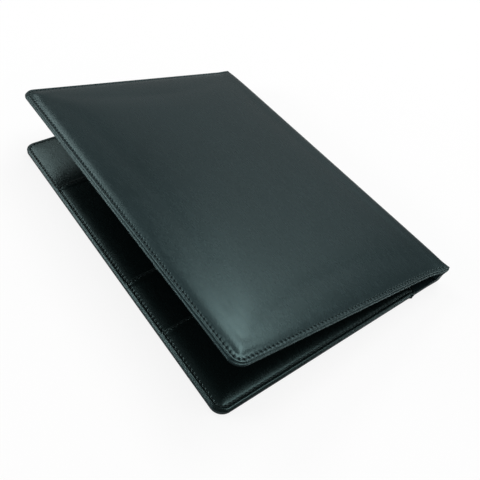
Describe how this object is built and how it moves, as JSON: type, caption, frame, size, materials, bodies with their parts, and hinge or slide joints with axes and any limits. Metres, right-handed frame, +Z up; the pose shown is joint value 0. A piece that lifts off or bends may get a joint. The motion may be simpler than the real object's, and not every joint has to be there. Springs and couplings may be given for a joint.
{
  "type": "portfolio case",
  "caption": "Padded leather A4 portfolio case that opens like a book, with two stitched covers, a folding spine, pockets in one cover and a pad sleeve in the other",
  "frame": {"origin": "the middle of the flat padded face of the pocket cover, on which the case lies", "axes": "+X from the fore edges to the spine, +Y from the foot of the case to its head, where the pockets open, +Z up, through the pocket cover to the pad cover"},
  "size_m": [0.2346, 0.32, 0.0673],
  "materials": {
    "cover_leather": "smooth satin black leather with a fine grain",
    "lining_leather": "thin glossy black leather",
    "foam": "soft grey padding",
    "board": "plain grey binder's board",
    "thread": "waxed black sewing thread"
  },
  "bodies": {
    "pocket_cover": {"pocket_cover_leather": "cover_leather", "pocket_cover_foam": "foam", "pocket_cover_board": "board", "pocket_cover_lining": "lining_leather", "pocket_cover_hinge_leather": "lining_leather", "document_pocket": "lining_leather", "middle_pocket": "lining_leather", "card_pocket": "lining_leather", "pocket_cover_seam": "thread", "pocket_panel_seam": "thread", "document_pocket_seam": "thread", "middle_pocket_seam": "thread", "card_pocket_seam": "thread"},
    "spine": {"spine_leather": "cover_leather", "spine_board": "board", "spine_lining": "lining_leather", "spine_seam": "thread"},
    "pad_cover": {"pad_cover_leather": "cover_leather", "pad_cover_foam": "foam", "pad_cover_board": "board", "pad_cover_lining": "lining_leather", "pad_cover_hinge_leather": "lining_leather", "pad_sleeve": "lining_leather", "pad_cover_seam": "thread", "pad_panel_seam": "thread", "pad_sleeve_seam": "thread"}
  },
  "joints": [
    {"name": "lower_fold", "type": "hinge", "parent": "pocket_cover", "child": "spine", "pos_m": [0.11575, 0, 0.0041], "axis": [0, 1, 0], "range_deg": [-5.7, 84.3], "stiffness_Nm_per_rad": 0.1557, "springref_deg": 84.3},
    {"name": "upper_fold", "type": "hinge", "parent": "spine", "child": "pad_cover", "pos_m": [0.11729, 0, 0.01952], "axis": [0, 1, 0], "range_deg": [-5.7, 84.3], "stiffness_Nm_per_rad": 0.1579, "springref_deg": 84.3}
  ]
}
